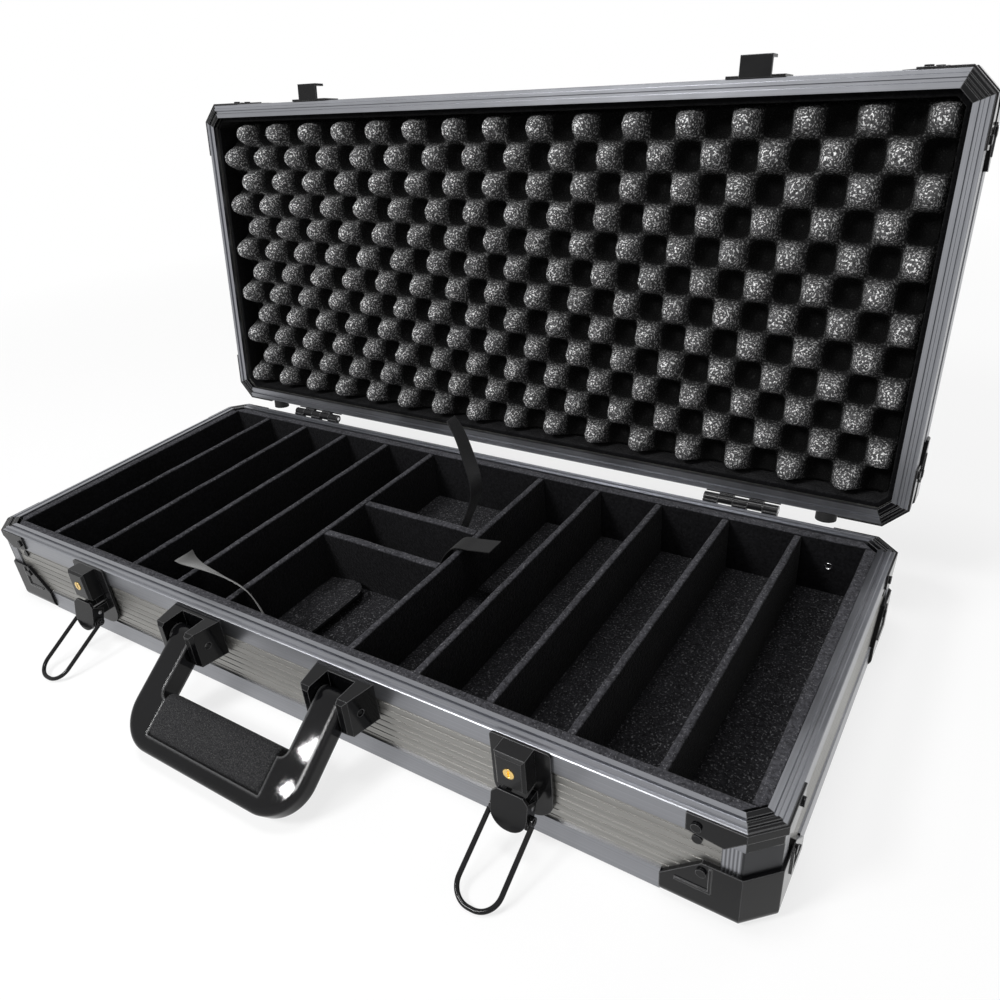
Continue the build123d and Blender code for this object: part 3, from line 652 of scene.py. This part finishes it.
# ---- Finishes of the rigid nodes
SHELL_FINISHES = {
    "Panel metal lengthwise": (
        "base_board_front", "base_board_back", "base_floor", "lid_board_front", "lid_board_back", "lid_panel",
    ),
    "Panel metal sideways": ("base_board_left", "base_board_right"),
    "Panel metal lid sides": ("lid_board_left", "lid_board_right"),
    "Post metal": ("base_corner_posts",),
    "Rail metal": ("base_edge_rails", "base_rim_rails"),
    "Lid rail metal": ("lid_corner_posts", "lid_edge_rails", "lid_rim_rails"),
    "Gloss black": ("base_rim_corners", "base_corner_guards", "lid_rim_corners", "lid_corner_guards"),
    "Rivet black": ("base_rivets", "lid_rivets"),
    "Foot rubber": ("base_feet", "lid_feet"),
}
FITTING_FINISHES = {
    "Latch black": (
        "left_latch_plate", "left_latch_housing", "left_latch_lever",
        "right_latch_plate", "right_latch_housing", "right_latch_lever",
        "strikes", "base_hinge_leaves", "lid_hinge_leaves",
    ),
    "Bail black": ("left_latch_bail", "right_latch_bail"),
    "Lock brass": ("left_lock_plug", "right_lock_plug"),
    "Gloss black": ("left_handle_bracket", "right_handle_bracket"),
    "Handle black": ("handle",),
    "Bright steel": ("lever_pins", "handle_pins", "hinge_pins"),
}


def finish_nodes(finishes):
    for finish, nodes in finishes.items():
        for node in nodes:
            finish_mesh(frame["nodes"][node].data, finish)


class CHIPCASE_OT_materials(bpy.types.Operator):
    """Make every finish that the case uses"""

    bl_idname = "chip_case.materials"
    bl_label = "Finishes"

    def execute(self, context):
        tones = context.scene.chip_case_colours
        panel_metal("Panel metal lengthwise", (0, 0, 0))
        panel_metal("Panel metal sideways", (0, 0, math.pi / 2))
        panel_metal("Panel metal lid sides", (-LID_TURN, 0, math.pi / 2))
        rail_metal("Rail metal", (0, 0, math.pi / 2))
        rail_metal("Lid rail metal", (-LID_TURN, 0, math.pi / 2))
        ribbed_posts("Post metal")
        gloss_black("Gloss black", tones.black)
        gloss_black("Handle black", tones.black, rough=(0.02, 0.05), radius=0.0028)
        gloss_black("Rivet black", tones.black, rough=(0.2, 0.4), radius=0.0005)
        gloss_black("Latch black", tones.latch, rough=(0.12, 0.28), radius=0.0006)
        gloss_black("Bail black", tones.latch, rough=(0.06, 0.15), radius=0.0003)
        bright_metal("Bright steel", tones.steel)
        bright_metal("Lock brass", tones.brass, rough=(0.16, 0.3))
        # painted top light on the tray felt above 53 mm, which the divider tops reach
        matted_felt("Tray felt", tones.felt, lit_above=0.053)
        matted_felt("Lining felt", shade_of(tones.felt, 0.5), specks=0.035)
        open_foam("Egg-crate foam", tones.foam, 0.9, pits=True)
        open_foam("Grip foam", tones.grip, 0.06, scale=900)
        tape("Light ribbon", tones.light_ribbon, 0.7, 0.3)
        tape("Dark ribbon", tones.dark_ribbon, 0.9, 0.03)
        tape("Black ribbon", tones.black_ribbon, 0.38, 0.1)
        matt_rubber("Foot rubber", tones.rubber)
        stage_paint("Stage paint", tones.stage)
        return {"FINISHED"}


class CHIPCASE_OT_shell(bpy.types.Operator):
    """Finish the boards, rails, posts, corners and feet of both halves"""

    bl_idname = "chip_case.shell"
    bl_label = "Shell finishes"

    def execute(self, context):
        finish_nodes(SHELL_FINISHES)
        return {"FINISHED"}


class CHIPCASE_OT_fittings(bpy.types.Operator):
    """Finish the latches, hinges, brackets and handle"""

    bl_idname = "chip_case.fittings"
    bl_label = "Fitting finishes"

    def execute(self, context):
        finish_nodes(FITTING_FINISHES)
        return {"FINISHED"}


# ---- Felt-covered boards
def felt_board(name, low, high, top_round, cuts=24):
    """A board wrapped in felt: a rounded top edge and a slightly uneven face."""
    piece = block(name, low, high)
    top = high[2] - SMALL
    bevel_edges(piece, lambda edge: middle(edge).z > top, top_round, 3)
    along = 0 if high[0] - low[0] > high[1] - low[1] else 1
    divide_edges(piece, lambda edge: abs(run(edge)[along]) > 10 * top_round, cuts)
    return piece


def unsettle(piece, amount, keep_below):
    """Moves the vertices a little, as felt never lies quite flat; what lies at keep_below stays."""
    waves_per_metre = 60
    felt_seed = 1
    noise.seed_set(felt_seed)  # without a seed, noise_vector changes from run to run
    for vertex in piece.data.vertices:
        if vertex.co.z >= keep_below + SMALL:
            vertex.co += noise.noise_vector(vertex.co * waves_per_metre) * amount
    piece.data.update()


def settle(piece, sizes, keep_below):
    """The last touches of a felt board."""
    unsettle(piece, sizes.felt_sag, keep_below)
    smooth(piece)
    dressed(piece, "Tray felt", "base")


class CHIPCASE_OT_tray(bpy.types.Operator):
    """Model the felt floor, liner and dividers of the tray"""

    bl_idname = "chip_case.tray"
    bl_label = "Felt tray"

    def execute(self, context):
        sizes = context.scene.chip_case_sizes
        self.floor(sizes)
        self.liner(sizes)
        self.chip_dividers(sizes)
        self.bay_dividers(sizes)
        return {"FINISHED"}

    def floor(self, sizes):
        low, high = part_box("tray_floor")
        piece = felt_board("felt_floor", low, high, sizes.felt_round, cuts=60)
        dressed(piece, "Tray felt", "base")
        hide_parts("tray_floor")

    def liner(self, sizes):
        low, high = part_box("tray_liner")
        slot_low, slot_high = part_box("chip_dividers")
        inner_x = high.x - (high.y - slot_high.y)
        gap = 0.1 * MM
        case_corner_cut = 9.5 * MM
        side_low, side_high = slot_low.y + gap, slot_high.y - gap
        walls = {
            "felt_liner_front": ((low.x, low.y, low.z), (high.x, slot_low.y, high.z)),
            "felt_liner_back": ((low.x, slot_high.y, low.z), (high.x, high.y, high.z)),
            "felt_liner_left": ((low.x, side_low, low.z), (-inner_x, side_high, high.z)),
            "felt_liner_right": ((inner_x, side_low, low.z), (high.x, side_high, high.z)),
        }
        for name, (near, far) in walls.items():
            piece = felt_board(name, near, far, sizes.felt_round)
            trim_corners(piece, high, case_corner_cut)
            settle(piece, sizes, near[2])
            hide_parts("tray_liner")

    def chip_dividers(self, sizes):
        """Models the leftmost divider and copies it along each side of the bays."""
        low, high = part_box("chip_dividers")
        half = 2.3 * MM
        pitch = 44.5 * MM
        on_each_side = 5
        first_at = half - high.x
        first = felt_board(
            "felt_divider_left_5",
            (first_at - half, low.y, low.z),
            (first_at + half, high.y, high.z),
            sizes.felt_round * 1.3,
        )
        pieces = [first]
        for side, side_name in ((-1, "left"), (1, "right")):
            for count in range(on_each_side):
                name = f"felt_divider_{side_name}_{on_each_side - count}"
                if name != first.name:
                    at = side * (high.x - half - count * pitch)
                    pieces.append(copied(first, name, (at - first_at, 0, 0)))
        for piece in sorted(pieces, key=lambda item: item.name):
            settle(piece, sizes, low.z)
            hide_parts("chip_dividers")

    def bay_dividers(self, sizes):
        low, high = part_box("bay_dividers")
        half = 3.0 * MM
        for name, at in (("front_bay_divider", low.y + half), ("back_bay_divider", high.y - half)):
            near, far = (low.x, at - half, low.z), (high.x, at + half, high.z)
            piece = felt_board(name, near, far, sizes.felt_round * 1.4)
            settle(piece, sizes, low.z)
            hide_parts("bay_dividers")


# ---- Loose felt and ribbons
def grid_faces(rows, columns):
    """The faces of a grid whose points run along its rows."""
    width = columns + 1
    starts = [row * width + column for row in range(rows) for column in range(columns)]
    return [(start, start + 1, start + width + 1, start + width) for start in starts]


def sheet_strip(name, centres, across, width, thickness, columns=6):
    """A strip of cloth along a line of centres, with its UV map in metres."""
    points, flat = [], []
    travelled = 0.0
    for index, centre in enumerate(centres):
        if index:
            travelled += (centre - centres[index - 1]).length
        for column in range(columns + 1):
            share = column / columns - 0.5
            points.append(centre + across[index] * (share * width))
            flat.append((share * width, travelled))
    piece = from_points(name, points, grid_faces(len(centres) - 1, columns))
    layer = piece.data.uv_layers.new(name="UVMap")
    for loop in piece.data.loops:
        layer.data[loop.index].uv = flat[loop.vertex_index]
    finish_with(piece, "SOLIDIFY", thickness=thickness, offset=0)
    smooth(piece, 60)
    return piece, travelled


def through(points, steps):
    """A smooth line through the points."""
    line = []
    last = len(points) - 1
    for index in range(last):
        before, start = points[max(index - 1, 0)], points[index]
        end, after = points[index + 1], points[min(index + 2, last)]
        for step in range(steps):
            t = step / steps
            linear = (end - before) * t
            square = (2 * before - 5 * start + 4 * end - after) * t * t
            cube = (3 * start - before - 3 * end + after) * t**3
            line.append(0.5 * (2 * start + linear + square + cube))
    line.append(points[last].copy())
    return line


class CHIPCASE_OT_ribbons(bpy.types.Operator):
    """Model the three lifting ribbons"""

    bl_idname = "chip_case.ribbons"
    bl_label = "Lifting ribbons"

    def execute(self, context):
        sizes = context.scene.chip_case_sizes
        light = [(-26, 26.8), (-29, 46), (-37, 59.5), (-48, 64.5), (-66, 66.5), (-86, 68), (-93, 72)]
        dark = [(28, 22.2), (34, 46), (45, 60), (58, 62.5), (73, 65)]
        black = [(12, 22.2), (23, 47), (33, 68), (35.5, 82), (32, 99), (27, 115), (21, 126)]
        self.ribbon("grey_ribbon", light, -96, "Light ribbon", "light_ribbon", sizes, roll=(1.1, 0.0))
        self.ribbon("charcoal_ribbon", dark, 5, "Dark ribbon", "dark_ribbon", sizes, roll=(0, 0))
        self.ribbon("satin_ribbon", black, 43, "Black ribbon", "black_ribbon", sizes, roll=(0, 0.3))
        return {"FINISHED"}

    def ribbon(self, name, path, at, finish, node, sizes, roll):
        """A ribbon along a path of x and z, rolled about its own length from the first angle to the last."""
        centres = through([Vector((x, at, z)) * MM for x, z in path], 10)
        last = len(centres) - 1
        across = []
        for index in range(last + 1):
            tangent = (centres[min(index + 1, last)] - centres[max(index - 1, 0)]).normalized()
            angle = roll[0] + (roll[1] - roll[0]) * (index / last) ** 3
            across.append(Matrix.Rotation(angle, 3, tangent) @ Vector((0, 1, 0)))
        piece, length_along = sheet_strip(name, centres, across, sizes.ribbon_width, sizes.ribbon_thickness)
        dressed(piece, finish, "base")
        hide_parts(node)
        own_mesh(piece)


class CHIPCASE_OT_flap(bpy.types.Operator):
    """Model the loose felt flap in the front bay"""

    bl_idname = "chip_case.flap"
    bl_label = "Felt flap"

    def execute(self, context):
        sizes = context.scene.chip_case_sizes
        low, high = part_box("felt_flap")
        lift = math.radians(9)
        curl = 0.25
        wave_height = 0.3 * MM
        wave_turn = 7
        corner = sizes.flap_round
        reach = (high.x - low.x - sizes.flap_thickness * math.sin(lift)) / math.cos(lift)
        wide = high.y - low.y
        columns, rows = 24, 36
        points = []
        for row in range(rows + 1):
            y = row / rows * wide
            from_end = min(y, wide - y)
            free = reach
            if from_end < corner:
                free = reach - corner + math.sqrt(corner**2 - (corner - from_end) ** 2)
            for column in range(columns + 1):
                along = column / columns
                x = along * free
                rise = math.tan(lift) * x * (1 - curl + curl * x / reach)
                wave = wave_height * along * (1 + math.sin(y / wide * wave_turn))
                points.append((low.x + x, low.y + y, low.z + sizes.flap_thickness / 2 + rise + wave))
        piece = from_points("loose_felt_flap", points, grid_faces(rows, columns))
        finish_with(piece, "SOLIDIFY", thickness=sizes.flap_thickness, offset=0)
        smooth(piece, 60)
        dressed(piece, "Tray felt", "base")
        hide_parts("felt_flap")
        return {"FINISHED"}


# ---- Lid
class CHIPCASE_OT_lid_lining(bpy.types.Operator):
    """Model the felt lining round the inside of the lid"""

    bl_idname = "chip_case.lid_lining"
    bl_label = "Lid lining"

    def execute(self, context):
        sizes = context.scene.chip_case_sizes
        low, high = shut_box("lid_liner")
        wall = 3.0 * MM
        corner_cut = 6.7 * MM
        inner_cut = corner_cut - 0.586 * wall  # keeps the wall as thick on the cut corners
        outer = self.plan(high.x, high.y, corner_cut)
        inner = self.plan(high.x - wall, high.y - wall, inner_cut)
        piece = self.ring("lid_lining", outer, inner, low.z, high.z)
        bevel_edges(piece, lambda edge: middle(edge).z < low.z + SMALL, sizes.felt_round * 0.7, 3)
        piece.data.transform(lid_open())
        smooth(piece)
        dressed(piece, "Lining felt", "lid")
        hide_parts("lid_liner")
        return {"FINISHED"}

    def plan(self, x, y, cut):
        """A rectangle with its corners cut, in order round it."""
        return [
            (cut - x, -y), (x - cut, -y), (x, cut - y), (x, y - cut),
            (x - cut, y), (cut - x, y), (-x, y - cut), (-x, cut - y),
        ]

    def ring(self, name, outer, inner, bottom, top):
        """A wall between two plans; its points are four loops of one plan's length."""
        points = [(x, y, z) for loop in (outer, inner) for z in (bottom, top) for x, y in loop]
        corners = len(outer)
        faces = []
        for here in range(corners):
            there = (here + 1) % corners
            out_low, out_high, in_low, in_high = ((here + k * corners, there + k * corners) for k in range(4))
            faces.append((out_low[0], out_low[1], out_high[1], out_high[0]))
            faces.append((in_low[1], in_low[0], in_high[0], in_high[1]))
            faces.append((out_low[1], out_low[0], in_low[0], in_low[1]))
            faces.append((out_high[0], out_high[1], in_high[1], in_high[0]))
        return from_points(name, points, faces)


class CHIPCASE_OT_foam(bpy.types.Operator):
    """Model the egg-crate foam in the lid"""

    bl_idname = "chip_case.foam"
    bl_label = "Egg-crate foam"

    def execute(self, context):
        sizes = context.scene.chip_case_sizes
        low, high = shut_box("foam_peaks")
        high.z = shut_box("lid_foam")[1].z
        nothing_picked()
        bpy.ops.mesh.primitive_grid_add(
            x_subdivisions=round((high.x - low.x) / sizes.foam_step),
            y_subdivisions=round((high.y - low.y) / sizes.foam_step),
            size=1,
            location=(0, (low.y + high.y) / 2, high.z),
        )
        piece = bpy.context.active_object
        piece.name = piece.data.name = "egg_crate_foam"
        piece.scale = (high.x - low.x, high.y - low.y, 1)
        bpy.ops.object.transform_apply(location=True, rotation=True, scale=True)
        pick(piece, "FACE", lambda face: True)
        bpy.ops.mesh.extrude_region_move(TRANSFORM_OT_translate={"value": (0, 0, -sizes.foam_back)})
        object_mode()
        self.raise_peaks(piece, low, high, sizes)
        trim_corners(piece, high, 4.8 * MM)
        pick(piece, "FACE", lambda face: True)
        bpy.ops.mesh.normals_make_consistent(inside=False)
        object_mode()
        piece.data.transform(lid_open())
        smooth(piece, 70)
        dressed(piece, "Egg-crate foam", "lid")
        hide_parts("lid_foam", "foam_peaks")
        return {"FINISHED"}

    def raise_peaks(self, piece, low, high, sizes):
        """Pushes the loose face down into staggered rounded peaks; in the shut lid they point down."""
        turn_x = math.pi * 2 * sizes.foam_columns / (high.x - low.x)
        turn_y = math.pi * sizes.foam_rows / (high.y - low.y)
        peak = high.z - low.z - sizes.foam_back
        edge_share = 0.25  # of their height that peaks keep at the foam's edge
        # the peak height is kept for the foam material, which paints shade down in the pits with it
        heights = piece.data.attributes.new("peak_height", "FLOAT", "POINT").data
        for vertex in piece.data.vertices:
            if vertex.co.z > high.z - SMALL:
                continue
            x, y = vertex.co.x, vertex.co.y
            wave = math.sin(turn_x * (high.x - x)) * math.sin(turn_y * (y - low.y))
            share = (0.5 + 0.5 * math.sin(math.pi / 2 * wave)) ** sizes.foam_sharpness
            from_edge = min(x - low.x, high.x - x, y - low.y, high.y - y)
            fall = min(1.0, max(0.0, from_edge / sizes.foam_rim))
            fall = fall * fall * (3 - 2 * fall)
            uneven = 1 + 0.07 * noise.noise(Vector((x, y, 0)) * 35)
            drop = min(peak * share * uneven, peak) * (edge_share + (1 - edge_share) * fall)
            rough = 0.35 * MM * noise.noise(Vector((x, y, 0.3)) * 260)
            vertex.co.z -= min(max(drop + rough, 0), peak)
            heights[vertex.index].value = share
        piece.data.update()


# ---- Handle grip and liner rivet
class CHIPCASE_OT_grip(bpy.types.Operator):
    """Model the foam grip on the handle's bar"""

    bl_idname = "chip_case.grip"
    bl_label = "Handle grip"

    def execute(self, context):
        sizes = context.scene.chip_case_sizes
        half, thick = sizes.grip_length / 2, sizes.grip_thickness / 2
        piece = block("foam_grip", (-half, sizes.grip_start, -thick), (half, sizes.grip_end, thick))
        bevel_edges(piece, lambda edge: abs(run(edge).x) > SMALL, 5.5 * MM, 6)
        bevel_edges(piece, lambda edge: abs(abs(middle(edge).x) - half) < SMALL, 1.4 * MM, 3)
        divide_edges(piece, lambda edge: abs(run(edge).x) > half, 24)
        for vertex in piece.data.vertices:
            vertex.co.z *= 1 - 0.07 * (vertex.co.x / half) ** 4  # thinner towards its ends
        piece.data.update()
        piece.data.transform(handle_place())
        smooth(piece, 50)
        dressed(piece, "Grip foam", "handle")
        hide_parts("handle_grip")
        return {"FINISHED"}


class CHIPCASE_OT_liner_rivet(bpy.types.Operator):
    """Model the small rivet in the back liner"""

    bl_idname = "chip_case.liner_rivet"
    bl_label = "Liner rivet"

    def execute(self, context):
        sizes = context.scene.chip_case_sizes
        _, slot_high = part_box("chip_dividers")
        from_middle, level = 246 * MM, 41 * MM
        proud = 0.6 * MM
        nothing_picked()
        bpy.ops.mesh.primitive_cylinder_add(
            vertices=28,
            radius=sizes.rivet_radius,
            depth=2 * proud,
            location=(from_middle, slot_high.y, level),
            rotation=(math.pi / 2, 0, 0),
        )
        piece = bpy.context.active_object
        piece.name = piece.data.name = "liner_rivet"
        bpy.ops.object.transform_apply(location=True, rotation=True, scale=True)
        face = slot_high.y - proud + SMALL
        pick(piece, "FACE", lambda item: item.calc_center_median().y < face)
        bpy.ops.mesh.inset(thickness=0.9 * MM, depth=0)
        bpy.ops.mesh.inset(thickness=0.25 * MM, depth=-0.5 * MM)
        object_mode()
        angle = math.radians(40)
        finish_with(piece, "BEVEL", width=0.2 * MM, segments=2, limit_method="ANGLE", angle_limit=angle)
        smooth(piece, 35)
        dressed(piece, "Bright steel", "base")
        return {"FINISHED"}


# ---- Stage, lights and camera
class CHIPCASE_OT_stage(bpy.types.Operator):
    """Set up the floor, backdrop, lights and camera"""

    bl_idname = "chip_case.stage"
    bl_label = "Stage"

    def execute(self, context):
        self.sweep()
        self.lights()
        self.world(context)
        self.camera(context)
        context.scene.view_settings.view_transform = "Standard"
        return {"FINISHED"}

    def sweep(self):
        half = 4.0
        back = half - 0.1
        nothing_picked()
        bpy.ops.mesh.primitive_plane_add(size=2 * half, location=(0, 0, 0))
        piece = bpy.context.active_object
        piece.name = piece.data.name = "stage_sweep"
        pick(piece, "EDGE", lambda edge: middle(edge).y > back)
        bpy.ops.mesh.extrude_region_move(TRANSFORM_OT_translate={"value": (0, 0, half)})
        object_mode()
        bevel_edges(piece, lambda edge: middle(edge).y > back and middle(edge).z < SMALL, 1.2, 12)
        piece.data.materials.append(bpy.data.materials["Stage paint"])
        smooth(piece, 60)

    def lights(self):
        target = Vector((0, 0.02, 0.1))
        softboxes = (
            ("key_softbox", (-0.55, -1.2, 1.3), (0.42, 0.32), 24),
            ("upper_pane", (-0.93, -1.01, 1.13), (0.035, 0.055), 1.0),
            ("lower_pane", (-0.92, -1.08, 1.05), (0.035, 0.03), 0.6),
            ("fill_softbox", (1.3, -0.9, 0.9), (1.1, 0.9), 1.5),
            ("top_softbox", (0.0, -0.1, 1.7), (0.5, 0.35), 11),
            ("rim_softbox", (0.7, 1.3, 1.1), (0.8, 0.5), 4),
        )
        for name, place, size, power in softboxes:
            data = bpy.data.lights.new(name, "AREA")
            data.shape = "RECTANGLE"
            data.size, data.size_y = size
            data.energy = power
            lamp = bpy.data.objects.new(name, data)
            lamp.location = place
            lamp.rotation_euler = (target - Vector(place)).to_track_quat("-Z", "Y").to_euler()
            bpy.context.scene.collection.objects.link(lamp)

    def world(self, context):
        world = bpy.data.worlds.new("Studio")
        world.use_nodes = True
        context.scene.world = world
        tree = world.node_tree
        strength = spread(tree, seen_directly(tree), 0, 1, 0.2, 1.0)
        background = tree.nodes["Background"]
        background.inputs["Color"].default_value = (1, 1, 1, 1)
        tree.links.new(strength, background.inputs["Strength"])

    def camera(self, context):
        data = bpy.data.cameras.new("view")
        camera = bpy.data.objects.new("view", data)
        place = (0.3196, -0.3473, 0.3412)
        right = Vector((0.8333, 0.5457, -0.0884))
        down = Vector((0.2146, -0.4667, -0.8580))
        forward = right.cross(down).normalized()
        axes = Matrix((right, -down, -forward)).transposed()
        camera.matrix_world = Matrix.Translation(place) @ axes.to_4x4()
        data.sensor_width = 36
        data.lens = 30.1
        data.shift_x = 0.023
        data.shift_y = 0.015
        data.clip_start = 0.01
        data.clip_end = 50
        context.scene.collection.objects.link(camera)
        context.scene.camera = camera


# ---- Panel and registration
STEPS = (
    CHIPCASE_OT_materials,
    CHIPCASE_OT_shell,
    CHIPCASE_OT_fittings,
    CHIPCASE_OT_tray,
    CHIPCASE_OT_ribbons,
    CHIPCASE_OT_flap,
    CHIPCASE_OT_lid_lining,
    CHIPCASE_OT_foam,
    CHIPCASE_OT_grip,
    CHIPCASE_OT_liner_rivet,
    CHIPCASE_OT_stage,
)


class CHIPCASE_PT_panel(bpy.types.Panel):
    """Lists the steps that dress the case, with its sizes and colours"""

    bl_idname = "CHIPCASE_PT_panel"
    bl_label = "Chip case"
    bl_space_type = "VIEW_3D"
    bl_region_type = "UI"
    bl_category = "Chip case"

    def draw(self, context):
        for step in STEPS:
            self.layout.operator(step.bl_idname)
        for settings in (context.scene.chip_case_sizes, context.scene.chip_case_colours):
            for name in settings.bl_rna.properties.keys():
                if name not in ("rna_type", "name"):
                    self.layout.prop(settings, name)


CLASSES = (ChipCaseSizes, ChipCaseColours, *STEPS, CHIPCASE_PT_panel)


def register():
    for cls in CLASSES:
        bpy.utils.register_class(cls)
    bpy.types.Scene.chip_case_sizes = bpy.props.PointerProperty(type=ChipCaseSizes)
    bpy.types.Scene.chip_case_colours = bpy.props.PointerProperty(type=ChipCaseColours)


def unregister():
    del bpy.types.Scene.chip_case_colours
    del bpy.types.Scene.chip_case_sizes
    for cls in reversed(CLASSES):
        bpy.utils.unregister_class(cls)


def run_step(step):
    group, name = step.bl_idname.split(".")
    getattr(getattr(bpy.ops, group), name)()


def main():
    register()
    for step in STEPS:
        run_step(step)
    nothing_picked()


if __name__ == "__main__":
    main()
